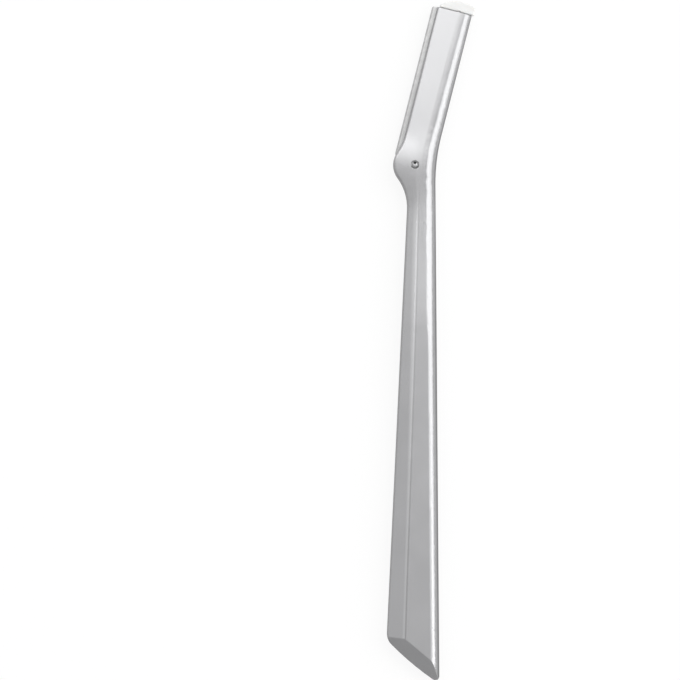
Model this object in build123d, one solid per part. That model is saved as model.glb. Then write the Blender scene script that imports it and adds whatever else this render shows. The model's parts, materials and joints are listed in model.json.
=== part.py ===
from build123d import *
import math
import os

# Eyebrow razor, millimetres and degrees. It lies on its broad side: X runs across it, Y up its handle.
# It is laid out round the cross pin. Front is the side of the cutting edge (-X), back the rounded side (+X).
# The head has its own frame: u runs from the pin along the head, v from the pin to the back.

# ---- handle in plan, measured from the pin ----
HANDLE_LENGTH = 114.05      # pin to the far corner of the slanted end
BACK_X = 4.50               # back line beside the pin
BACK_LEAN = 0.45            # the back leans outward towards the slanted end
WAIST_X = -1.24             # front line beside the pin, inside the boss
FRONT_LEAN = 2.72           # the front line widens the handle towards the slanted end
END_CUT_ANGLE = 40.0        # slanted end, from the X axis
END_SAGITTA = 0.45          # bulge of the slanted end
END_CORNER_RADIUS = 3.2
END_TIP_RADIUS = 0.9

# ---- boss round the pin, and the bends into it ----
BOSS_RADIUS = 4.75
WAIST_RADIUS = 11.0         # hollow between boss and handle
LIP_RADIUS = 11.0           # hollow between boss and head
BEND_RADIUS = 42.0          # back of the bend

# ---- head in plan ----
HEAD_TILT = 14.2
HEAD_LENGTH = 34.85
EDGE_V = -4.82              # cutting edge
EDGE_SHOWING = 1.15         # strip of blade that stands out of the head

# ---- thickness, as half heights, and the rounded back ----
HALF_HANDLE = 2.60
HALF_NECK = 2.30
HALF_HEAD_ROOT = 2.30
HALF_HEAD_END = 1.55
ROUND_HANDLE = 2.2          # width of the rounded back in plan
ROUND_BOSS = 3.3
ROUND_HEAD_END = 3.0
NECK_START = 40.0           # distances below the pin, along the back
NECK_DEEPEST = 9.0
BEVEL_FADE = 13.0           # the long facet fades out from here to the pin
HEAD_ROOT = 9.0             # above the pin
BOSS_SINK = 0.02            # crest of the boss below the flat of the handle
SECTION_SPACING = 3.5       # between the cross-sections of the cast shape
PARTING_LAND = 0.03         # cut off the crest of the rounded back
FACE_LAND = 0.02            # cut off both broad faces of the handle, which makes them flat
RIM_RADIUS = 0.5            # soft cast edge round the front
STOCK = 4.0                 # spare length and width of shapes that are cut to size

# ---- facets ----
BEVEL_ANGLE = 15.0          # long facet along the front of the handle
RIDGE_END_V = 7.95          # its ridge, from the back, at the slanted end
RIDGE_NECK_V = 4.15         # and at the neck
RIDGE_HEAD_V = 5.15         # and where it has faded out in the head
FADED_ANGLE = 0.3           # what is left of its slope there
END_BEVEL_ANGLE = 25.5
END_BEVEL_WIDTH = 2.75

# ---- slot for the cartridge, and the cross pin ----
SLOT_HEIGHT = 1.50
SLOT_BACK_WALL = 0.55
SLOT_CORNER_RADIUS = 0.6
SLOT_PAST_PIN = 0.8
PIN_RADIUS = 0.65
PIN_SINK_RADIUS = 0.85      # countersunk ring round each end of the pin
PIN_SINK_DEPTH = 0.30
PIN_DOME = 0.22
PIN_DIMPLE_RADIUS = 0.24    # mark of the riveting punch
PIN_DIMPLE_DEPTH = 0.07

# ---- cartridge: blade, backing plate and plastic carrier ----
# Its own frame: w runs back from the cutting edge, t runs up from the end beside the pin.
STOP_GAP = 0.05             # end of the cartridge to the pin
BLADE_WIDTH = 3.50
BLADE_THICKNESS = 0.10
GRIND_WIDTH = 0.40
EDGE_THICKNESS = 0.01
BLADE_CORNER_RADIUS = 0.9
BLADE_NOSE_RADIUS = 0.45    # corner of the blade at the tab
PLATE_THICKNESS = 0.25
PLATE_FRONT_W = 1.55
PLATE_BACK_W = 6.60
PLATE_SLOPE_ANGLE = 38.8    # slanted end of the plate in front of the stem
PLATE_HOOK_W = 5.35
HOOK_TIP_DROP = 3.05        # the slanted hook behind the stem, measured down from the tab
HOOK_ROOT_DROP = 4.30
WINDOW_W = 4.62             # centre line of windows, notch and stem
WINDOW_WIDTH = 1.50
WINDOW_HEIGHT = 2.10
WINDOW_RADIUS = 0.45
WINDOW_TS = (6.82, 18.26, 24.09)
NOTCH_DEPTH = 1.76
NICK_W = 2.45               # small nick in the end of the plate
NICK_WIDTH = 0.45
NICK_DEPTH = 0.65
STEM_START = 29.2
SPOT_TS = (3.5, 12.1, 20.9, 29.5)   # spot welds
SPOT_W = 2.45
SPOT_RADIUS = 0.33
SPOT_DEPTH = 0.05
CARRIER_HALF = 0.69         # half height of the plastic in the slot
SPINE_GAP = 0.07            # plate to spine
SPINE_WIDTH = 1.42
WEB_THICKNESS = 0.36
WEB_FRONT_W = 3.70
PEG_GAP = 0.03              # peg to window
LEG_START_DROP = 9.3        # ends of the spring leg, measured down from the tab
LEG_END_DROP = 2.9
LEG_THICKNESS = 0.75
LEG_BOW = 0.24              # crown of the spring leg, out from the spine
BOW_GAP = 0.04              # crown of the spring leg to the wall of the slot

# ---- grip tab at the end of the carrier ----
TAB_GAP = 0.06              # tab to the end of the head
TAB_FRONT_W = 1.60
TAB_TIP_HEIGHT = 0.55
TAB_CROWN_W = 5.0           # place and height of its crown
TAB_CROWN_HEIGHT = 2.25
TAB_BACK_HEIGHT = 1.75
TAB_OVERHANG = 0.35         # past the back of the head
TAB_HALF = 1.45
TAB_EDGE_RADIUS = 0.30
TAB_RELIEF_W = 5.95         # small hollow under the tab, for a fingernail
TAB_RELIEF_WIDTH = 1.10
TAB_RELIEF_HEIGHT = 0.28
ROOT_START_W = 2.0          # slanted root of the tab, in front of the stem
ROOT_OVERLAP = 0.15         # how far it reaches over the plate's slanted end

CARTRIDGE_LENGTH = HEAD_LENGTH - PIN_RADIUS - STOP_GAP
SPINE_FRONT_W = PLATE_BACK_W + SPINE_GAP
SPINE_BACK_W = SPINE_FRONT_W + SPINE_WIDTH
LIP_V = EDGE_V + EDGE_SHOWING
SLOT_BACK_V = EDGE_V + SPINE_BACK_W + LEG_BOW + BOW_GAP
HEAD_BACK_V = SLOT_BACK_V + SLOT_BACK_WALL
HEAD_FRAME = Plane(origin=(0, 0, 0), x_dir=Vector(1, 0, 0).rotate(Axis.Z, -HEAD_TILT), z_dir=(0, 0, 1))


def head_point(u, v):
    """A point of the head's own frame, in plan."""
    return HEAD_FRAME.from_local_coords(Vector(v, u))


def ray(x, lean):
    """A line of the handle in plan: its point beside the pin, and its direction towards the slanted end."""
    return Vector(x, 0), Vector(0, -1).rotate(Axis.Z, lean)


def head_ray(v):
    return head_point(0, v), head_point(1, v) - head_point(0, v)


def crossing(first, second):
    """Where two such lines cross."""
    (p, d), (q, e) = first, second
    along = ((q.X - p.X) * e.Y - (q.Y - p.Y) * e.X) / (d.X * e.Y - d.Y * e.X)
    return p + d * along


def outline_through(points):
    """A closed outline with straight sides."""
    return make_face([Line(a, b).edge() for a, b in zip(points, points[1:] + points[:1])])


def nearest_vertex(sketch, point):
    return min(sketch.vertices(), key=lambda corner: (Vector(corner) - point).length)


def rounded(sketch, point, radius):
    """The sketch with its corner nearest the point rounded."""
    return fillet(nearest_vertex(sketch, point), radius)


BACK = ray(BACK_X, BACK_LEAN)
FRONT = ray(WAIST_X, -FRONT_LEAN)
BEND = crossing(BACK, head_ray(HEAD_BACK_V))
TIP = BACK[0] + BACK[1] * HANDLE_LENGTH
SLANT = (TIP, Vector(-1, 0).rotate(Axis.Z, -END_CUT_ANGLE))
END_CORNER = crossing(SLANT, FRONT)


def hollow(line, radius):
    """The web in plan that blends the boss into a line of the front, below its hollow arc of that radius."""
    point, along = line
    outward = along.rotate(Axis.Z, 90)
    outward = outward if outward.X < 0 else outward * -1
    reach = point.dot(outward) + radius
    centre = outward * reach + along * math.sqrt((BOSS_RADIUS + radius) ** 2 - reach**2)
    on_line = centre - outward * radius
    on_boss = centre * (BOSS_RADIUS / (BOSS_RADIUS + radius))
    middle = centre + ((on_line - centre) + (on_boss - centre)).normalized() * radius
    pin = Vector(0, 0)
    arc = ThreePointArc(on_line, middle, on_boss)
    return make_face([arc.edge(), Line(on_boss, pin).edge(), Line(pin, on_line).edge()])


def plan_view():
    """The outline of handle, boss and head in plan."""
    head_front = head_point(HEAD_LENGTH, LIP_V)
    head_back = head_point(HEAD_LENGTH, HEAD_BACK_V)
    bar = make_face(
        [
            Line(END_CORNER, FRONT[0]).edge(),
            Line(FRONT[0], head_point(0, LIP_V)).edge(),
            Line(head_point(0, LIP_V), head_front).edge(),
            Line(head_front, head_back).edge(),
            Line(head_back, BEND).edge(),
            Line(BEND, TIP).edge(),
            SagittaArc(TIP, END_CORNER, END_SAGITTA).edge(),
        ]
    )
    boss = Circle(BOSS_RADIUS) & Pos(-BOSS_RADIUS, 0) * Rectangle(2 * BOSS_RADIUS, 2 * BOSS_RADIUS)
    outline = bar + boss + hollow(FRONT, WAIST_RADIUS) + hollow(head_ray(LIP_V), LIP_RADIUS)
    outline = rounded(outline, BEND, BEND_RADIUS)
    outline = rounded(outline, END_CORNER, END_CORNER_RADIUS)
    outline = rounded(outline, TIP, END_TIP_RADIUS)
    return outline


def ease(start, end, place):
    """Rises smoothly from 0 at start to 1 at end."""
    share = min(max((place - start) / (end - start), 0), 1)
    return share * share * (3 - 2 * share)


def flow(place, keys):
    """A size that eases from one (place, size) key to the next."""
    size = keys[0][1]
    for (start, before), (end, after) in zip(keys, keys[1:]):
        size += (after - before) * ease(start, end, place)
    return size


def section(path, place, pin_place):
    """The cross-section at a place on the path of the back: rounded back, flat, and long front facet."""
    share = place / path.length
    tangent = path % share
    height = flow(
        place,
        [
            (pin_place - NECK_START, HALF_HANDLE + FACE_LAND),
            (pin_place - NECK_DEEPEST, HALF_NECK),
            (pin_place, HALF_HANDLE - BOSS_SINK),
            (pin_place + HEAD_ROOT, HALF_HEAD_ROOT),
        ],
    )
    head_share = max(0, (place - pin_place - HEAD_ROOT) / (HEAD_LENGTH - HEAD_ROOT))
    height += (HALF_HEAD_END - HALF_HEAD_ROOT) * head_share
    rounding = flow(place, [(pin_place - NECK_START, ROUND_HANDLE), (pin_place, ROUND_BOSS)])
    rounding += (ROUND_HEAD_END - ROUND_BOSS) * head_share
    ridge = RIDGE_END_V + (RIDGE_NECK_V - RIDGE_END_V) * min(place / (pin_place - NECK_DEEPEST), 1)
    ridge = flow(place, [(pin_place - NECK_DEEPEST, ridge), (pin_place + HEAD_ROOT, RIDGE_HEAD_V)])
    angle = flow(place, [(pin_place - BEVEL_FADE, BEVEL_ANGLE), (pin_place, FADED_ANGLE)])
    reach = RIDGE_END_V + STOCK
    drop = (reach - ridge) * math.tan(math.radians(angle))
    plane = Plane(origin=path @ share, x_dir=Vector(-tangent.Y, tangent.X), z_dir=tangent)
    round_back = EllipticalCenterArc((rounding, 0), rounding, height, 90, arc_size=180)
    corners = [
        (rounding, -height),
        (ridge, -height),
        (reach, drop - height),
        (reach, height - drop),
        (ridge, height),
        (rounding, height),
    ]
    edges = [round_back.edge()]
    edges += [Line(a, b).edge() for a, b in zip(corners, corners[1:])]
    return plane * Face(Wire(edges))


def envelope():
    """The cast shape before its outline is cut: handle, neck, boss and head flow into each other."""
    outward = BACK[1].rotate(Axis.Z, 90) * PARTING_LAND
    start = TIP + BACK[1] * STOCK + outward
    bend = BEND + outward
    end = bend + head_ray(0)[1] * (HEAD_LENGTH + STOCK)
    path = Wire(FilletPolyline(start, bend, end, radius=BEND_RADIUS).edges())
    pin_place = HANDLE_LENGTH + STOCK
    steps = round(path.length / SECTION_SPACING)
    stride = path.length / steps
    return loft([section(path, step * stride, pin_place) for step in range(steps + 1)])


def end_bevel():
    """The wedge cut off the upper face along the slanted end."""
    along = SLANT[1]
    outward = along.rotate(Axis.Z, 90)
    across = Plane(origin=TIP - outward * END_BEVEL_WIDTH - along * STOCK, x_dir=outward, z_dir=along)
    reach = END_BEVEL_WIDTH + STOCK
    drop = reach * math.tan(math.radians(END_BEVEL_ANGLE))
    wedge = outline_through([(0, HALF_HANDLE), (reach, HALF_HANDLE - drop), (reach, reach), (0, reach)])
    return extrude(across * wedge, (END_CORNER - TIP).length + 2 * STOCK)


def slot():
    """The space in the head for the cartridge, open to the front and to the end of the head."""
    front = EDGE_V - STOCK
    bottom = -PIN_RADIUS - SLOT_PAST_PIN
    top = HEAD_LENGTH + STOCK
    plan = Pos((front + SLOT_BACK_V) / 2, (bottom + top) / 2) * Rectangle(SLOT_BACK_V - front, top - bottom)
    plan = rounded(plan, Vector(SLOT_BACK_V, bottom), SLOT_CORNER_RADIUS)
    return HEAD_FRAME * extrude(plan, SLOT_HEIGHT / 2, both=True)


def pin_bore():
    """The bore for the cross pin, with a countersunk ring at each face."""
    bore = Cylinder(PIN_RADIUS, 2 * (HALF_HANDLE + STOCK))
    ring = layer(Circle(PIN_SINK_RADIUS), HALF_HANDLE - PIN_SINK_DEPTH, HALF_HANDLE + STOCK)
    return bore + ring + mirror(ring, about=Plane.XY)


def front_rims(blank):
    """The edges that the faces share with the upright walls of the front, above the slanted end."""
    level = 0.01
    forward = -0.3
    upright = 0.5
    walls = [wall for wall in blank.faces() if abs(wall.normal_at().Z) < level]
    front = [wall for wall in walls if wall.normal_at().X < forward]
    edges = [edge for wall in front for edge in wall.edges() if abs(edge.tangent_at(0.5).Z) < upright]
    return [edge for edge in edges if edge.center().Y > END_CORNER.Y]


def handle_body():
    """Handle, boss and head: one casting."""
    outline = plan_view()
    blank = extrude(outline, HALF_HANDLE, both=True) & envelope()
    blank = fillet(front_rims(blank), RIM_RADIUS)
    bevel = end_bevel()
    blank = blank - bevel - mirror(bevel, about=Plane.XY)
    return blank - slot() - pin_bore()


def cross_pin():
    """The riveted pin that the cartridge stops against."""
    half = HALF_HANDLE - PIN_SINK_DEPTH
    shank = Cylinder(PIN_RADIUS, 2 * half)
    sphere_radius = (PIN_RADIUS**2 + PIN_DOME**2) / (2 * PIN_DOME)
    ball = Pos(0, 0, half + PIN_DOME - sphere_radius) * Sphere(sphere_radius)
    dome = ball & Pos(0, 0, half + PIN_DOME / 2) * Cylinder(PIN_RADIUS, PIN_DOME)
    punch_radius = (PIN_DIMPLE_RADIUS**2 + PIN_DIMPLE_DEPTH**2) / (2 * PIN_DIMPLE_DEPTH)
    punch = Pos(0, 0, half + PIN_DOME - PIN_DIMPLE_DEPTH + punch_radius) * Sphere(punch_radius)
    head = dome - punch
    return shank + head + mirror(head, about=Plane.XY)


def layer(outline, low, high):
    """The outline as a flat layer between two heights."""
    return Pos(0, 0, low) * extrude(outline, high - low)


def rounded_end_slot(w, width, start, end):
    """An open slot along t with a round bottom at start."""
    straight = Pos(w, (start + width / 2 + end) / 2) * Rectangle(width, end - start - width / 2)
    return straight + Pos(w, start + width / 2) * Circle(width / 2)


def blade_strip():
    """The ground strip that carries the cutting edge, with the spot welds pressed into its outer face."""
    length = CARTRIDGE_LENGTH
    slope_start = (BLADE_WIDTH, length - slope_drop(BLADE_WIDTH))
    outline = outline_through([(0, 0), (BLADE_WIDTH, 0), slope_start, (PLATE_FRONT_W, length), (0, length)])
    outline = rounded(outline, Vector(0, 0), BLADE_CORNER_RADIUS)
    outline = rounded(outline, Vector(0, length), BLADE_NOSE_RADIUS)
    half = BLADE_THICKNESS / 2
    edge = EDGE_THICKNESS / 2
    knife = outline_through(
        [
            (0, -edge),
            (GRIND_WIDTH, -half),
            (BLADE_WIDTH, -half),
            (BLADE_WIDTH, half),
            (GRIND_WIDTH, half),
            (0, edge),
        ]
    )
    strip = Plane.XZ.offset(-length) * extrude(knife, length)
    strip = strip & layer(outline, -half, half)
    ball_radius = (SPOT_RADIUS**2 + SPOT_DEPTH**2) / (2 * SPOT_DEPTH)
    for t in SPOT_TS:
        strip -= Pos(SPOT_W, t, SPOT_DEPTH - half - ball_radius) * Sphere(ball_radius)
    return strip


def slope_drop(w):
    """How far below the tab the slanted end of blade and plate lies, at w."""
    return (w - PLATE_FRONT_W) * math.tan(math.radians(PLATE_SLOPE_ANGLE))


def window(gap):
    """One window of the plate, or with a gap, the peg in it."""
    width = WINDOW_WIDTH - 2 * gap
    height = WINDOW_HEIGHT - 2 * gap
    return RectangleRounded(width, height, WINDOW_RADIUS - gap)


def notch(gap):
    """The notch in the plate's end beside the pin, or with a gap, the peg in it."""
    depth = NOTCH_DEPTH - gap
    half = WINDOW_WIDTH / 2 - gap
    straight = Pos(WINDOW_W, (depth - half) / 2) * Rectangle(2 * half, depth - half)
    return straight + Pos(WINDOW_W, depth - half) * Circle(half)


def backing_plate():
    """The stamped plate that the strip is welded to: windows, notch, nick and an open slot for the stem."""
    length = CARTRIDGE_LENGTH
    stem_front = WINDOW_W - WINDOW_WIDTH / 2
    outline = outline_through(
        [
            (PLATE_FRONT_W, 0),
            (PLATE_BACK_W, 0),
            (PLATE_BACK_W, length - HOOK_ROOT_DROP),
            (PLATE_HOOK_W, length - HOOK_TIP_DROP),
            (stem_front, length - HOOK_TIP_DROP),
            (stem_front, length - slope_drop(stem_front)),
            (PLATE_FRONT_W, length),
        ]
    )
    outline -= rounded_end_slot(WINDOW_W, WINDOW_WIDTH, STEM_START, length)
    outline -= notch(0)
    outline -= Pos(NICK_W, 0) * Rectangle(NICK_WIDTH, 2 * NICK_DEPTH)
    for t in WINDOW_TS:
        outline -= Pos(WINDOW_W, t) * window(0)
    low = BLADE_THICKNESS / 2
    return layer(outline, low, low + PLATE_THICKNESS)


def spine_view():
    """The spine in plan, with the spring leg that bows out towards the wall of the slot."""
    crown = SPINE_BACK_W + LEG_BOW
    start = CARTRIDGE_LENGTH - LEG_START_DROP
    end = CARTRIDGE_LENGTH - LEG_END_DROP
    middle = (start + end) / 2
    centre = (SPINE_FRONT_W + SPINE_WIDTH / 2, CARTRIDGE_LENGTH / 2)
    spine = Pos(*centre) * Rectangle(SPINE_WIDTH, CARTRIDGE_LENGTH)
    bow = ThreePointArc((SPINE_BACK_W, start), (crown, middle), (SPINE_BACK_W, end))
    spine += make_face([bow.edge(), Line((SPINE_BACK_W, end), (SPINE_BACK_W, start)).edge()])
    inside = SPINE_BACK_W - LEG_THICKNESS
    relief = make_face(
        [
            ThreePointArc((inside, start), (crown - LEG_THICKNESS, middle), (inside, end)).edge(),
            Line((inside, end), (SPINE_FRONT_W, end)).edge(),
            Line((SPINE_FRONT_W, end), (SPINE_FRONT_W, start)).edge(),
            Line((SPINE_FRONT_W, start), (inside, start)).edge(),
        ]
    )
    return spine - relief


def tab_view():
    """The grip tab in plan, beyond the end of the head: thin tip, crown, and blunt end past the back."""
    base = CARTRIDGE_LENGTH + TAB_GAP
    back_w = HEAD_BACK_V + TAB_OVERHANG - EDGE_V
    tip = (TAB_FRONT_W, base + TAB_TIP_HEIGHT)
    blunt = (back_w, base + TAB_BACK_HEIGHT)
    crown = (TAB_CROWN_W, base + TAB_CROWN_HEIGHT)
    return make_face(
        [
            Line((TAB_FRONT_W, base), tip).edge(),
            ThreePointArc(tip, crown, blunt).edge(),
            Line(blunt, (back_w, base)).edge(),
            Line((back_w, base), (TAB_FRONT_W, base)).edge(),
        ]
    )


def tab_relief():
    """The hollow under the tab, in plan."""
    base = CARTRIDGE_LENGTH + TAB_GAP
    start = (TAB_RELIEF_W - TAB_RELIEF_WIDTH / 2, base)
    end = (TAB_RELIEF_W + TAB_RELIEF_WIDTH / 2, base)
    arc = ThreePointArc(start, (TAB_RELIEF_W, base + TAB_RELIEF_HEIGHT), end)
    return make_face([arc.edge(), Line(end, start).edge()])


def carrier():
    """The moulded carrier: web and pegs, spine and spring leg, stem, and the grip tab."""
    length = CARTRIDGE_LENGTH
    plate_low = BLADE_THICKNESS / 2
    web_low = plate_low + PLATE_THICKNESS
    web_high = web_low + WEB_THICKNESS
    root_t = length - LEG_END_DROP
    web = Pos((WEB_FRONT_W + SPINE_FRONT_W) / 2, root_t / 2) * Rectangle(SPINE_FRONT_W - WEB_FRONT_W, root_t)
    body = layer(web, web_low, web_high) + layer(spine_view(), -CARRIER_HALF, CARRIER_HALF)
    for t in WINDOW_TS:
        body += layer(Pos(WINDOW_W, t) * window(PEG_GAP), plate_low, web_low)
    body += layer(notch(PEG_GAP), plate_low, web_low)
    stem_width = WINDOW_WIDTH - 2 * PEG_GAP
    body += layer(rounded_end_slot(WINDOW_W, stem_width, STEM_START + PEG_GAP, length), plate_low, web_high)
    stem_front = WINDOW_W - stem_width / 2
    root = outline_through(
        [
            (stem_front, root_t),
            (SPINE_BACK_W, root_t),
            (SPINE_BACK_W, length + TAB_GAP),
            (ROOT_START_W, length + TAB_GAP),
            (stem_front, length - slope_drop(stem_front) + ROOT_OVERLAP),
        ]
    )
    body += layer(root, -CARRIER_HALF, CARRIER_HALF)
    tab = layer(tab_view(), -TAB_HALF, TAB_HALF)
    tab = fillet(tab.edges().filter_by(Axis.Z, reverse=True), TAB_EDGE_RADIUS)
    tab -= layer(tab_relief(), -TAB_HALF, TAB_HALF)
    return body + tab


def in_head(shape):
    """A piece of the cartridge, seated in the head against the pin."""
    return HEAD_FRAME * (Pos(EDGE_V, PIN_RADIUS + STOP_GAP) * shape)


pieces = {
    "handle_body": handle_body(),
    "cross_pin": cross_pin(),
    "blade_strip": in_head(blade_strip()),
    "backing_plate": in_head(backing_plate()),
    "blade_carrier": in_head(carrier()),
}

# The origin is under the middle of the whole razor, where it lies.
box = Compound(children=[Part(piece.wrapped) for piece in pieces.values()]).bounding_box()
place = Pos(-box.center().X, -box.center().Y, -box.min.Z)

os.makedirs("parts", exist_ok=True)
for name, piece in pieces.items():
    export_step(place * piece, f"parts/{name}.step")
print(f"pin at {place.position.X:.3f}, {place.position.Y:.3f}, mid-plane at {place.position.Z:.3f}")
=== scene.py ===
"""Eyebrow razor on a white table: satin cast handle, riveted pin, and a steel blade in a white carrier."""

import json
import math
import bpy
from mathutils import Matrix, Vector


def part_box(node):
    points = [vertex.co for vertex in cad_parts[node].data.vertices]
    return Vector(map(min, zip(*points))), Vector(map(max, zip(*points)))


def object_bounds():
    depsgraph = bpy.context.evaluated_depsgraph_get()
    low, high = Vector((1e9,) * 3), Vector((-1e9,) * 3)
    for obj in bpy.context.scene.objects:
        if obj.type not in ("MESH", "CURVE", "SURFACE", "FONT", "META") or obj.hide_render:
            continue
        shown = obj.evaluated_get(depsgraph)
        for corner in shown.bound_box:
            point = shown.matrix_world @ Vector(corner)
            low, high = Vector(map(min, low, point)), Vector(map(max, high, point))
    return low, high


bl_info = {
    "name": "Eyebrow razor",
    "version": (1, 0, 0),
    "blender": (4, 5, 0),
    "location": "3D View > Sidebar > Razor",
    "description": "Gives an eyebrow razor its metal and plastic finishes, and a white table to lie on",
    "category": "Object",
}

import bpy
from bpy.props import FloatProperty, FloatVectorProperty, PointerProperty
from mathutils import Vector

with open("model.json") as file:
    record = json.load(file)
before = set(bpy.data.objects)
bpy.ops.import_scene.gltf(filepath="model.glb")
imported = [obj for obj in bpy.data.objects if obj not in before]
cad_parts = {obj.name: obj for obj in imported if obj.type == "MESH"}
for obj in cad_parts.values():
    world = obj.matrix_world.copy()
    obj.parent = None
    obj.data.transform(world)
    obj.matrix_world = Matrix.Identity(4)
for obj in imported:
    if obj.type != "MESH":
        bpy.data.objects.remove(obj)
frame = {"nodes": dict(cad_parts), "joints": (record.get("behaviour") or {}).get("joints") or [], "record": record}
CAD_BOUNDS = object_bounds()
MM = 0.001
MICRON = 0.001 * MM
TOP = CAD_BOUNDS[1].z
PALETTE = {row["slot"]: row["base_color"] for row in frame["record"]["materials"]}

# The two ends of a share that falls from all to nothing.
FALLING = (1.0, 0.0)

# The cartridge slides along the head, so its joint gives the head's direction in plan.
ALONG_HEAD = Vector(frame["joints"][0]["axis"])
ACROSS_HEAD = Vector((ALONG_HEAD.y, -ALONG_HEAD.x, 0.0))
HEAD_TURN = math.atan2(ALONG_HEAD.x, ALONG_HEAD.y)
EDGE_ACROSS = min(vertex.co.dot(ACROSS_HEAD) for vertex in frame["nodes"]["blade_strip"].data.vertices)
PIN_LOW, PIN_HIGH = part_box("cross_pin")
PIN_CENTRE = (PIN_LOW + PIN_HIGH) / 2

# The long front facet meets the flat in a ridge. Two points of the flat's own edge give its line, and a
# third carries the line on past the neck.
HANDLE_POINTS = [vertex.co for vertex in frame["nodes"]["handle_body"].data.vertices]
FLAT_EDGE = [point for point in HANDLE_POINTS if point.z > TOP - MICRON]
RIDGE_TAIL = min(FLAT_EDGE, key=lambda point: point.x)
RIDGE_MIDDLE = min((point for point in FLAT_EDGE if point.y > 0), key=lambda point: point.x)
RIDGE_AHEAD = RIDGE_TAIL.lerp(RIDGE_MIDDLE, 1.6)

# Painted highlight and painted shade run along that ridge, from the tail to where they fade out in the neck. They
# bow towards the rounded back, most in the middle.
RIDGE_LIGHT_BEGIN = (RIDGE_TAIL.y - 0.1 * MM, RIDGE_TAIL.y + 0.2 * MM)
RIDGE_LIGHT_END = (24 * MM, 34 * MM)
BOW_DEPTH = 0.36 * MM
BOW_MIDDLE = 7 * MM
BOW_REACH = 75 * MM

# The strip of painted highlight lies on the facet's side of the ridge, the negative one. It widens and brightens
# towards the neck.
STRIP_WIDENS = (-40 * MM, 20 * MM)
STRIP_STARTS = (-0.75 * MM, -1.5 * MM)
STRIP_IS_FULL = -0.3 * MM
STRIP_ENDS = (-0.2 * MM, 0.0)
STRIP_BRIGHTENS = (-60 * MM, 10 * MM)
STRIP_LIFT = (0.13, 0.32)

# The line of painted shade lies on the flat's side of the ridge. It fades towards the neck.
LINE_PLACE = 0.1 * MM
LINE_REACH = 0.26 * MM
LINE_FADES = (-50 * MM, 0.0)
LINE_DROP = (0.24, 0.11)

# A painted highlight on the side of the boss next to the blade.
BOSS_HIGHLIGHT_PLACE = (PIN_CENTRE.x - 2.4 * MM, PIN_CENTRE.y + 3.3 * MM, TOP)
BOSS_HIGHLIGHT_FADES = (1.2 * MM, 4.6 * MM)
BOSS_HIGHLIGHT_LIFT = 0.18

# Painted shade round the pin, measured from its axis: a dark crescent on the tail side of its countersink that
# fades towards the head, and a dark speck.
CRESCENT_RADIUS = 0.8 * MM
CRESCENT_REACH = 0.27 * MM
CRESCENT_FADES = (-0.45 * MM, 0.1 * MM)
CRESCENT_SHARE = 0.75
SPECK_PLACE = (0.0, 0.38 * MM, 0.0)
SPECK_FADES = (0.2 * MM, 0.42 * MM)
SHADE_AND_SPECK_METALLIC = 0.2

# A belt levelled the broad faces at the boss and the head. Its direction turns with the neck. It reached
# further round the back towards the head: its reach is the upright part of the steepest normal it levelled.
BELT_TURNS = (30 * MM, 42 * MM)
BELT_WIDENS = (5 * MM, 36 * MM)
BELT_REACH = (0.9985, 0.952)
BELT_BORDER = (-0.016, 0.012)

# Shade is painted on the sides, darker than the broad faces: most where a normal's upright part is the first
# value, and not at all from the second.
SIDE_SLOPES = (0.3, 0.9)
SIDE_SHADE_DROP = 0.5

# The cast metal's textures. Hairlines run along the handle, and their depth is a share of the grain's.
CLOUD_SIZE = 9 * MM
HAIRLINE_WIDTH = 0.10 * MM
HAIRLINE_STRETCH = (1.0, 0.04, 1.0)
HAIRLINE_DEPTH = 0.2
CAST_GRAIN = 0.11 * MM

# The pin's rings are about a third of this scale apart.
RING_SCALE = 1 * MM
RING_DEPTH = 1.5 * MICRON
PIN_PATCH = 0.2 * MM

# The blade's drawn lines run along it and its grinding lines across it, with a line of painted shade at the
# cutting edge and a fainter line of painted shade where the ground facet ends. The facet's border is a share of
# its width, and its polish comes off the roughness.
DRAWN_WIDTH = 0.05 * MM
DRAWN_STRETCH = (1.0, 0.02, 1.0)
GROUND_WIDTH = 0.04 * MM
GROUND_STRETCH = (0.05, 1.0, 1.0)
BLADE_LINE_DEPTH = 0.4 * MICRON
BLADE_WEAR = 1.2 * MM
EDGE_SHADE_FADES = (EDGE_ACROSS + 0.25 * MM, EDGE_ACROSS + 0.5 * MM)
EDGE_SHADE_DROP = 0.3
FACET_SHADE_REACH = 0.1 * MM
FACET_SHADE_DROP = 0.12
FACET_BORDER = 0.08
FACET_POLISH = 0.08

# The backing plate's rolling lines and blotches.
ROLLED_WIDTH = 0.08 * MM
ROLLED_STRETCH = (1.0, 0.03, 1.0)
ROLLED_DEPTH = 0.7 * MICRON
BLOTCH_SIZE = 2.5 * MM

# The plastic's mould texture, its flow marks, and how deep light goes into it.
MOULD_GRAIN = 0.15 * MM
MOULD_DEPTH = 1.2 * MICRON
FLOW_MARK = 2 * MM
LIGHT_DEPTH = 1 * MM

# The table, a hair below the handle, and how much of what is seen of it is plain white.
TABLE_REACH = 3.0
TABLE_DROP = 0.02 * MM
WHITE_STRENGTH = 1.02
WHITE_SHARE = 0.85

# The room gets brighter between these parts of a direction along the handle, and its walls end at this
# upright part of a direction.
ROOM_ENDS = (-0.62, 0.4)
WALL_TOP = 0.6


def colour(name, description, default):
    """A setting for a colour."""
    return FloatVectorProperty(
        name=name, description=description, default=default, subtype="COLOR", min=0.0, max=1.0
    )


def length(name, description, default, most):
    """A setting for a small length."""
    return FloatProperty(
        name=name, description=description, default=default, min=0.0, max=most, unit="LENGTH", precision=6
    )


def power(name, description, default):
    """A setting for the power of a lamp."""
    return FloatProperty(name=name, description=description, default=default, min=0.0, unit="POWER")


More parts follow.
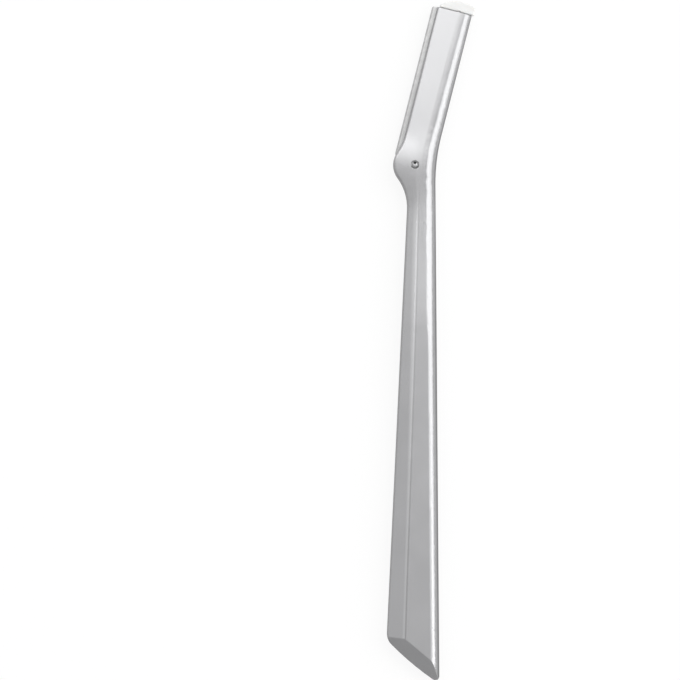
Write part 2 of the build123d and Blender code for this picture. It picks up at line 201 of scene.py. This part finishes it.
class RazorFinishes(bpy.types.PropertyGroup):
    """Colours and textures of the razor's own pieces."""

    metal_colour: colour("Satin metal", "Colour of the cast handle", PALETTE["satin_metal"])
    metal_roughness: FloatProperty(
        name="Satin roughness",
        description="How far the satin metal blurs what it reflects",
        default=0.25,
        min=0.05,
        max=0.8,
        subtype="FACTOR",
    )
    grain_depth: length(
        "Casting grain", "Depth of the fine grain on the cast metal", 0.5 * MICRON, most=20 * MICRON
    )
    edge_tint: colour(
        "Edge tint",
        "Share of the light that the metals keep where seen at a shallow angle",
        (0.5, 0.5, 0.5),
    )
    # The dark colour of the painted shade round the pin and of the speck beside it.
    shade_and_speck_colour: colour("Grime", "Colour of the dirt caught round the pin", (0.02, 0.02, 0.02))
    edge_softness: length(
        "Edge softness", "Radius that the cast edges look rounded to", 0.3 * MM, most=1 * MM
    )
    pin_colour: colour("Pin", "Colour of the riveted cross pin", PALETTE["pin_metal"])
    blade_colour: colour("Blade", "Colour of the ground steel strip", PALETTE["blade_steel"])
    plate_colour: colour("Backing plate", "Colour of the stamped steel plate", PALETTE["plate_steel"])
    plastic_colour: colour("Carrier", "Colour of the moulded plastic", PALETTE["white_plastic"])
    grind_width: length(
        "Ground edge", "Width of the ground facet along the cutting edge", 0.6 * MM, most=2 * MM
    )


class RazorStudio(bpy.types.PropertyGroup):
    """The table, the room, the lamps and the camera."""

    view_width: FloatProperty(
        name="View width",
        description="Width of the square view at the razor's middle height",
        default=149.6 * MM,
        min=50 * MM,
        max=1.0,
        unit="LENGTH",
    )
    view_centre: FloatVectorProperty(
        name="View centre",
        description="The place on the table that the camera looks straight down at",
        default=(-20.04 * MM, 0.13 * MM),
        size=2,
        subtype="TRANSLATION",
        unit="LENGTH",
    )
    camera_height: FloatProperty(
        name="Camera height",
        description="Height of the camera over the table",
        default=0.9,
        min=0.2,
        unit="LENGTH",
    )
    floor_colour: colour("Table", "Colour of the table", (0.93, 0.93, 0.93))
    ceiling_level: FloatProperty(
        name="Ceiling",
        description="Brightness of the room straight above the table",
        default=0.675,
        min=0.0,
        max=2.0,
    )
    room_slope: FloatProperty(
        name="Room slope",
        description="How much brighter the room is past the head than overhead, and darker past the tail",
        default=0.40,
        min=0.0,
        max=1.0,
    )
    wall_share: FloatProperty(
        name="Walls",
        description="Brightness of the room at the table's level, as a share of its brightness overhead",
        default=0.65,
        min=0.0,
        max=1.0,
        subtype="FACTOR",
    )
    overhead_power: power("Overhead softbox", "Power of the softbox over the head", 3.2)
    side_power: power("Side softbox", "Power of the softbox beside the rounded back", 3.55)
    strip_power: power("Strip softbox", "Power of the narrow softbox that the head's back reflects", 0.73)
    fill_power: power("Fill", "Power of the low softbox past the head", 2.0)
    tail_power: power("Tail fill", "Power of the low softbox past the tail", 2.8)


class Wiring:
    """The emptied node tree of a material or of the world, and short ways to fill it."""

    def __init__(self, owner):
        owner.use_nodes = True
        self.nodes = owner.node_tree.nodes
        self.links = owner.node_tree.links
        self.nodes.clear()

    def add(self, kind, inputs=None, **settings):
        """A node with its settings, and its sockets set or linked."""
        node = self.nodes.new(kind)
        for name, value in settings.items():
            setattr(node, name, value)
        for socket, value in (inputs or {}).items():
            self.feed(node.inputs[socket], value)
        return node

    def feed(self, socket, value):
        """Sets a socket, or links it where the value is another node's output."""
        if isinstance(value, bpy.types.NodeSocket):
            self.links.new(value, socket)
        else:
            socket.default_value = value

    def maths(self, operation, first, second=0.0):
        """The result of an operation on one or two values."""
        return self.add("ShaderNodeMath", {0: first, 1: second}, operation=operation).outputs["Value"]

    def plus(self, first, second):
        """The sum of two values."""
        return self.maths("ADD", first, second)

    def minus(self, first, second):
        """The first value less the second."""
        return self.maths("SUBTRACT", first, second)

    def times(self, first, second):
        """The product of two values."""
        return self.maths("MULTIPLY", first, second)

    def vector(self, operation, first, second=(0.0, 0.0, 0.0), output="Vector"):
        """The result of an operation on one or two vectors, which is a vector or a value."""
        node = self.add("ShaderNodeVectorMath", {0: first, 1: second}, operation=operation)
        return node.outputs[output]

    def joined(self, x, y, z):
        """The vector of three values."""
        return self.add("ShaderNodeCombineXYZ", {"X": x, "Y": y, "Z": z}).outputs["Vector"]

    def parts(self, value):
        """The X, Y and Z of a vector."""
        return self.add("ShaderNodeSeparateXYZ", {"Vector": value}).outputs

    def mixed(self, factor, first, second):
        """A colour or a vector between two others."""
        # A Mix node's sockets of each kind share their names, so those for colours go by number.
        return self.add("ShaderNodeMix", {0: factor, 6: first, 7: second}, data_type="RGBA").outputs[2]

    def ramp(self, value, span, ends=(0.0, 1.0), interpolation_type="LINEAR"):
        """A value's way over a span, mapped to two ends and held at them outside it."""
        sockets = ("Value", "From Min", "From Max", "To Min", "To Max")
        inputs = dict(zip(sockets, (value, *span, *ends)))
        node = self.add("ShaderNodeMapRange", inputs, interpolation_type=interpolation_type)
        return node.outputs["Result"]

    def step(self, value, span, ends=(0.0, 1.0)):
        """As ramp, but leaving the first end and reaching the other smoothly."""
        return self.ramp(value, span, ends, "SMOOTHSTEP")

    def near(self, value, centre, reach):
        """1 where a value is at the centre, falling smoothly to 0 at that reach from it."""
        return self.step(self.maths("ABSOLUTE", self.minus(value, centre)), (0.0, reach), FALLING)

    def spots(self, noise, least, most, middle=0.4):
        """A noise whose middle share is mapped to values from least to most and held there."""
        return self.ramp(noise, (0.5 - middle / 2, 0.5 + middle / 2), (least, most))


class Finish(Wiring):
    """A material under construction: its surface shader, and the place that its textures follow."""

    def __init__(self, name):
        self.material = bpy.data.materials.new(name)
        super().__init__(self.material)
        self.surface = self.add("ShaderNodeBsdfPrincipled")
        self.add("ShaderNodeOutputMaterial", {"Surface": self.surface.outputs["BSDF"]})
        self.place = self.add("ShaderNodeTexCoord").outputs["Object"]

    def shade(self, **inputs):
        """Sets or links sockets of the surface shader, with their names in capitals and spaces."""
        for name, value in inputs.items():
            self.feed(self.surface.inputs[name.replace("_", " ").title()], value)

    def laid(self, turn=0.0, stretch=(1.0, 1.0, 1.0)):
        """The place on the piece, turned about Z and stretched."""
        inputs = {"Vector": self.place, "Rotation": (0.0, 0.0, turn), "Scale": stretch}
        return self.add("ShaderNodeMapping", inputs, vector_type="POINT").outputs["Vector"]

    def noise(self, size, detail=2.0, at=None, roughness=0.5):
        """A noise from 0 to 1 whose spots are about that size."""
        place = self.place if at is None else at
        inputs = {"Vector": place, "Scale": 1 / size, "Detail": detail, "Roughness": roughness}
        return self.add("ShaderNodeTexNoise", inputs).outputs["Fac"]

    def tinted(self, factor, dark, light):
        """A shade between a dark and a light one."""
        return self.mixed(factor, (*dark, 1.0), (*light, 1.0))

    def bumped(self, height, depth, under=None):
        """A normal that follows a height from 0 to 1 with that depth, over another normal."""
        inputs = {"Height": height, "Distance": depth, "Strength": 1.0}
        if under is not None:
            inputs["Normal"] = under
        return self.add("ShaderNodeBump", inputs).outputs["Normal"]

    def put_on(self, node):
        """Makes this the material of every slot of a CAD piece."""
        mesh = frame["nodes"][node].data
        if not mesh.materials:
            mesh.materials.append(self.material)
        for index in range(len(mesh.materials)):
            mesh.materials[index] = self.material


def shades(base, spread):
    """A darker and a lighter shade of a colour."""
    darker = [channel * (1 - spread) for channel in base]
    lighter = [min(1.0, channel * (1 + spread)) for channel in base]
    return darker, lighter


def ridge_painted_light(metal):
    """Along the facet's ridge: a strip of painted highlight on the facet's side, and a line of painted shade
    beside it.
    """
    place = metal.parts(metal.place)
    ridge = metal.ramp(place["Y"], (RIDGE_TAIL.y, RIDGE_AHEAD.y), (RIDGE_TAIL.x, RIDGE_AHEAD.x))
    bowed = metal.times(metal.near(place["Y"], BOW_MIDDLE, BOW_REACH), BOW_DEPTH)
    across = metal.minus(place["X"], metal.plus(ridge, bowed))
    along = metal.times(metal.ramp(place["Y"], RIDGE_LIGHT_BEGIN), metal.step(place["Y"], RIDGE_LIGHT_END, FALLING))
    start = metal.ramp(place["Y"], STRIP_WIDENS, STRIP_STARTS)
    rising = metal.step(across, (start, STRIP_IS_FULL))
    strip = metal.times(rising, metal.step(across, STRIP_ENDS, FALLING))
    painted_highlight = metal.times(strip, metal.ramp(place["Y"], STRIP_BRIGHTENS, STRIP_LIFT))
    darkness = metal.ramp(place["Y"], LINE_FADES, LINE_DROP)
    line = metal.times(metal.near(across, LINE_PLACE, LINE_REACH), darkness)
    return metal.times(metal.minus(painted_highlight, line), along)


def boss_painted_highlight(metal):
    """A painted highlight on the side of the boss next to the blade."""
    away = metal.vector("DISTANCE", metal.place, BOSS_HIGHLIGHT_PLACE, output="Value")
    return metal.step(away, BOSS_HIGHLIGHT_FADES, (BOSS_HIGHLIGHT_LIFT, 0.0))


def from_pin_axis(finish):
    """The place in plan, from the axis of the pin."""
    from_centre = finish.vector("SUBTRACT", finish.place, (PIN_CENTRE.x, PIN_CENTRE.y, 0.0))
    return finish.vector("MULTIPLY", from_centre, (1.0, 1.0, 0.0))


def pin_shade_and_speck(finish):
    """Painted shade round the pin: a dark crescent on its tail side, where the countersink's wall is in shade, and
    a dark speck on the other.
    """
    flat = from_pin_axis(finish)
    radius = finish.vector("LENGTH", flat, output="Value")
    tail_side = finish.ramp(finish.parts(flat)["Y"], CRESCENT_FADES, FALLING)
    crescent = finish.times(finish.near(radius, CRESCENT_RADIUS, CRESCENT_REACH), tail_side)
    from_speck = finish.vector("DISTANCE", flat, SPECK_PLACE, output="Value")
    speck = finish.step(from_speck, SPECK_FADES, FALLING)
    return finish.maths("MAXIMUM", finish.times(crescent, CRESCENT_SHARE), speck)


def linished(metal, normal):
    """The normal that a belt left flat at the boss and the head, out to where the back turns down."""
    along = metal.parts(metal.place)["Y"]
    across = metal.mixed(metal.ramp(along, BELT_TURNS), (1.0, 0.0, 0.0, 0.0), (*ACROSS_HEAD, 0.0))
    to_back = metal.vector("DOT_PRODUCT", normal, across, output="Value")
    reach = metal.ramp(along, BELT_WIDENS, BELT_REACH)
    upright = metal.maths("ABSOLUTE", metal.parts(normal)["Z"])
    on_flat = metal.step(metal.minus(upright, reach), BELT_BORDER)
    amount = metal.times(metal.times(on_flat, metal.maths("MAXIMUM", to_back, 0.0)), -1.0)
    levelling = metal.vector("MULTIPLY", across, metal.joined(amount, amount, amount))
    return metal.vector("NORMALIZE", metal.vector("ADD", normal, levelling))


def satin_cast_metal(finishes):
    """Tumbled cast metal: fine grain, faint hairlines along the handle, and edges softened by tumbling."""
    metal = Finish("satin_cast_metal")
    clouds = metal.noise(CLOUD_SIZE, detail=3.0)
    hairlines = metal.noise(HAIRLINE_WIDTH, detail=3.0, at=metal.laid(stretch=HAIRLINE_STRETCH))
    grain = metal.noise(CAST_GRAIN, detail=3.0, roughness=0.6)
    patches = metal.spots(clouds, least=-0.015, most=0.015)
    streaks = metal.spots(hairlines, least=-0.02, most=0.02, middle=0.6)
    softened = metal.add("ShaderNodeBevel", {"Radius": finishes.edge_softness}, samples=4).outputs["Normal"]
    lined = metal.bumped(hairlines, HAIRLINE_DEPTH * finishes.grain_depth, linished(metal, softened))
    upright = metal.maths("ABSOLUTE", metal.parts(softened)["Z"])
    # Painted shade on the sides, where the normal turns away from upright.
    side = metal.step(upright, SIDE_SLOPES, FALLING)
    # Painted highlight and painted shade along the ridge, then a painted highlight on the boss.
    shade = metal.plus(metal.spots(clouds, least=0.48, most=0.52), ridge_painted_light(metal))
    shade = metal.plus(shade, boss_painted_highlight(metal))
    shade = metal.minus(shade, metal.times(side, SIDE_SHADE_DROP))
    clean = metal.tinted(shade, *shades(finishes.metal_colour, spread=0.5))
    # Painted shade round the pin, and a dark speck.
    shade_and_speck = pin_shade_and_speck(metal)
    metal.shade(
        base_color=metal.mixed(shade_and_speck, clean, (*finishes.shade_and_speck_colour, 1.0)),
        metallic=metal.ramp(shade_and_speck, (0.0, 1.0), (1.0, SHADE_AND_SPECK_METALLIC)),
        roughness=metal.plus(metal.plus(patches, streaks), finishes.metal_roughness),
        specular_tint=(*finishes.edge_tint, 1.0),
        normal=metal.bumped(grain, finishes.grain_depth, lined),
    )
    return metal


def turned_steel(finishes):
    """The pin's riveted ends: rings from the rivet tool on bright steel, with painted shade at the rim and a dark
    speck.
    """
    pin = Finish("turned_steel")
    rings = pin.add(
        "ShaderNodeTexWave",
        {"Vector": from_pin_axis(pin), "Scale": 1 / RING_SCALE, "Distortion": 1.0, "Detail": 1.0},
        wave_type="RINGS",
        rings_direction="Z",
    ).outputs["Fac"]
    # Painted shade round the pin, and a dark speck.
    shade_and_speck = pin_shade_and_speck(pin)
    pin.shade(
        base_color=pin.mixed(shade_and_speck, (*finishes.pin_colour, 1.0), (*finishes.shade_and_speck_colour, 1.0)),
        metallic=pin.ramp(shade_and_speck, (0.0, 1.0), (1.0, SHADE_AND_SPECK_METALLIC)),
        specular_tint=(*finishes.edge_tint, 1.0),
        roughness=pin.spots(pin.noise(PIN_PATCH), least=0.36, most=0.48),
        normal=pin.bumped(rings, RING_DEPTH),
    )
    return pin


def ground_blade_steel(finishes):
    """Rolled steel strip with drawn lines along it, a ground facet, and painted shade along the cutting edge and
    where the facet ends.
    """
    blade = Finish("ground_blade_steel")
    across = blade.parts(blade.laid(turn=HEAD_TURN))["X"]
    facet_end = EDGE_ACROSS + finishes.grind_width
    facet_border = (facet_end, facet_end + FACET_BORDER * finishes.grind_width)
    on_facet = blade.ramp(across, facet_border, FALLING)
    drawn = blade.noise(DRAWN_WIDTH, detail=3.0, at=blade.laid(HEAD_TURN, DRAWN_STRETCH))
    ground = blade.noise(GROUND_WIDTH, at=blade.laid(HEAD_TURN, GROUND_STRETCH))
    height = blade.plus(blade.times(ground, on_facet), drawn)
    # Painted shade along the cutting edge and where the ground facet ends.
    painted_edge_shade = blade.step(across, EDGE_SHADE_FADES, (EDGE_SHADE_DROP, 0.0))
    painted_facet_shade = blade.times(blade.near(across, facet_end, FACET_SHADE_REACH), FACET_SHADE_DROP)
    worn = blade.spots(blade.noise(BLADE_WEAR, detail=4.0), least=0.42, most=0.51, middle=0.3)
    rough = blade.spots(drawn, least=0.32, most=0.42)
    shade = blade.minus(worn, blade.maths("MAXIMUM", painted_edge_shade, painted_facet_shade))
    blade.shade(
        base_color=blade.tinted(shade, *shades(finishes.blade_colour, spread=0.7)),
        specular_tint=(*finishes.edge_tint, 1.0),
        metallic=1.0,
        roughness=blade.minus(rough, blade.times(on_facet, FACET_POLISH)),
        normal=blade.bumped(height, BLADE_LINE_DEPTH),
    )
    return blade


def rolled_plate_steel(finishes):
    """Stamped sheet: rolling lines along it and a few blotches."""
    plate = Finish("rolled_plate_steel")
    rolled = plate.noise(ROLLED_WIDTH, detail=4.0, at=plate.laid(HEAD_TURN, ROLLED_STRETCH))
    blotches = plate.spots(plate.noise(BLOTCH_SIZE, detail=3.0), least=0.0, most=1.0, middle=0.3)
    plate.shade(
        base_color=plate.tinted(blotches, *shades(finishes.plate_colour, spread=0.05)),
        metallic=1.0,
        roughness=plate.spots(rolled, least=0.28, most=0.42, middle=0.5),
        normal=plate.bumped(rolled, ROLLED_DEPTH),
    )
    return plate


def moulded_plastic(finishes):
    """White moulded plastic: lets a little light in, with the fine texture of its mould."""
    plastic = Finish("moulded_plastic")
    texture = plastic.noise(MOULD_GRAIN, detail=3.0)
    flow_marks = plastic.spots(plastic.noise(FLOW_MARK), least=0.0, most=1.0)
    plastic.shade(
        base_color=plastic.tinted(flow_marks, *shades(finishes.plastic_colour, spread=0.012)),
        roughness=plastic.spots(texture, least=0.32, most=0.42),
        subsurface_weight=0.25,
        subsurface_radius=(0.6, 0.55, 0.5),
        subsurface_scale=LIGHT_DEPTH,
        normal=plastic.bumped(texture, MOULD_DEPTH),
    )
    return plastic


def table_top(studio):
    """A matt white that the camera and reflections see as white, and that keeps the razor's shadow."""
    material = bpy.data.materials.new("table_top")
    table = Wiring(material)
    matt = table.add("ShaderNodeBsdfDiffuse", {"Color": (*studio.floor_colour, 1.0)}).outputs["BSDF"]
    white = table.add("ShaderNodeEmission", {"Strength": WHITE_STRENGTH}).outputs["Emission"]
    path = table.add("ShaderNodeLightPath").outputs
    seen = table.maths("MAXIMUM", path["Is Camera Ray"], path["Is Glossy Ray"])
    seen = table.maths("MAXIMUM", seen, path["Is Transmission Ray"])
    share = table.times(seen, WHITE_SHARE)
    mixed = table.add("ShaderNodeMixShader", {0: share, 1: matt, 2: white}).outputs["Shader"]
    table.add("ShaderNodeOutputMaterial", {"Surface": mixed})
    return material


def room(studio):
    """A plain room, brighter past the head than past the tail, and darker at the walls than overhead."""
    world = bpy.data.worlds.new("room")
    sky = Wiring(world)
    direction = sky.parts(sky.add("ShaderNodeTexCoord").outputs["Generated"])
    levels = [studio.ceiling_level + studio.room_slope * end for end in ROOM_ENDS]
    along = sky.ramp(direction["Y"], ROOM_ENDS, levels)
    walls = sky.ramp(direction["Z"], (0.0, WALL_TOP), (studio.wall_share, 1.0))
    light = {"Color": (1.0, 1.0, 1.0, 1.0), "Strength": sky.times(along, walls)}
    background = sky.add("ShaderNodeBackground", light).outputs["Background"]
    sky.add("ShaderNodeOutputWorld", {"Surface": background})
    return world


def softbox(name, place, facing, sides, watts):
    """A rectangular lamp that faces another place. The first of its sides is level."""
    lamp = bpy.data.lights.new(name, "AREA")
    lamp.shape = "RECTANGLE"
    lamp.size, lamp.size_y = sides
    lamp.energy = watts
    holder = bpy.data.objects.new(name, lamp)
    bpy.context.scene.collection.objects.link(holder)
    holder.location = place
    holder.rotation_mode = "QUATERNION"
    holder.rotation_quaternion = (Vector(facing) - Vector(place)).to_track_quat("-Z", "Y")


class RAZOR_OT_handle(bpy.types.Operator):
    """Gives the cast handle its satin metal"""

    bl_idname = "razor.handle"
    bl_label = "Satin handle"

    def execute(self, context):
        satin_cast_metal(context.scene.razor_finishes).put_on("handle_body")
        return {"FINISHED"}


class RAZOR_OT_pin(bpy.types.Operator):
    """Gives the cross pin its turned steel"""

    bl_idname = "razor.pin"
    bl_label = "Cross pin"

    def execute(self, context):
        turned_steel(context.scene.razor_finishes).put_on("cross_pin")
        return {"FINISHED"}


class RAZOR_OT_cartridge(bpy.types.Operator):
    """Gives the blade, its backing plate and its carrier their steel and plastic"""

    bl_idname = "razor.cartridge"
    bl_label = "Blade cartridge"

    def execute(self, context):
        finishes = context.scene.razor_finishes
        ground_blade_steel(finishes).put_on("blade_strip")
        rolled_plate_steel(finishes).put_on("backing_plate")
        moulded_plastic(finishes).put_on("blade_carrier")
        return {"FINISHED"}


class RAZOR_OT_stage(bpy.types.Operator):
    """Adds the white table, the room, its lamps and the camera that looks straight down"""

    bl_idname = "razor.stage"
    bl_label = "Table, lamps and camera"

    def execute(self, context):
        studio = context.scene.razor_studio
        self.add_table(context.scene, studio)
        self.add_lamps(studio)
        self.add_camera(context.scene, studio)
        context.scene.world = room(studio)
        context.scene.view_settings.view_transform = "Standard"
        return {"FINISHED"}

    def add_table(self, scene, studio):
        """A wide square table, which is stage and not part of the razor."""
        mesh = bpy.data.meshes.new("table")
        signs = ((-1, -1), (1, -1), (1, 1), (-1, 1))
        mesh.from_pydata([(x * TABLE_REACH, y * TABLE_REACH, 0.0) for x, y in signs], [], [(0, 1, 2, 3)])
        mesh.materials.append(table_top(studio))
        table = bpy.data.objects.new("table", mesh)
        table.location.z = -TABLE_DROP
        scene.collection.objects.link(table)

    def add_lamps(self, studio):
        """Softboxes over the head, beside the rounded back, and low past the head and the tail."""
        softbox(
            "overhead_softbox",
            place=(0.0, 0.58, 1.2),
            facing=(0.0, 0.58, 0.0),
            sides=(1.2, 0.84),
            watts=studio.overhead_power,
        )
        softbox(
            "side_softbox",
            place=(0.71, 0.315, 0.71),
            facing=(0.0, 0.315, 0.0),
            sides=(0.79, 1.3),
            watts=studio.side_power,
        )
        softbox(
            "strip_softbox",
            place=(0.85, -0.19, 0.42),
            facing=(0.0, 0.055, 0.0),
            sides=(0.15, 0.7),
            watts=studio.strip_power,
        )
        softbox(
            "fill_softbox",
            place=(-0.4, 1.4, 0.8),
            facing=(0.0, 0.0, 0.0),
            sides=(1.6, 0.7),
            watts=studio.fill_power,
        )
        softbox(
            "tail_softbox",
            place=(0.1, -1.5, 0.65),
            facing=(0.0, 0.0, 0.0),
            sides=(1.6, 0.7),
            watts=studio.tail_power,
        )

    def add_camera(self, scene, studio):
        """A camera that looks straight down and sees the view's width at the razor's middle height."""
        data = bpy.data.cameras.new("camera")
        middle_height = (CAD_BOUNDS[0].z + CAD_BOUNDS[1].z) / 2
        data.lens = data.sensor_width * (studio.camera_height - middle_height) / studio.view_width
        camera = bpy.data.objects.new("camera", data)
        camera.location = (*studio.view_centre, studio.camera_height)
        scene.collection.objects.link(camera)
        scene.camera = camera


class RAZOR_PT_panel(bpy.types.Panel):
    """Lists the razor's pieces, finishes and studio"""

    bl_idname = "RAZOR_PT_panel"
    bl_label = "Eyebrow razor"
    bl_space_type = "VIEW_3D"
    bl_region_type = "UI"
    bl_category = "Razor"

    def draw(self, context):
        for operator in OPERATORS:
            self.layout.operator(operator.bl_idname)
        for group in (context.scene.razor_finishes, context.scene.razor_studio):
            for name in group.bl_rna.properties.keys():
                if name not in {"rna_type", "name"}:
                    self.layout.prop(group, name)


OPERATORS = (RAZOR_OT_stage, RAZOR_OT_handle, RAZOR_OT_pin, RAZOR_OT_cartridge)
CLASSES = (RazorFinishes, RazorStudio, *OPERATORS, RAZOR_PT_panel)


def register():
    for entry in CLASSES:
        bpy.utils.register_class(entry)
    bpy.types.Scene.razor_finishes = PointerProperty(type=RazorFinishes)
    bpy.types.Scene.razor_studio = PointerProperty(type=RazorStudio)


def unregister():
    del bpy.types.Scene.razor_studio
    del bpy.types.Scene.razor_finishes
    for entry in reversed(CLASSES):
        bpy.utils.unregister_class(entry)


def main():
    """Sets the stage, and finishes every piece."""
    register()
    bpy.ops.razor.stage()
    bpy.ops.razor.handle()
    bpy.ops.razor.pin()
    bpy.ops.razor.cartridge()


if __name__ == "__main__":
    main()
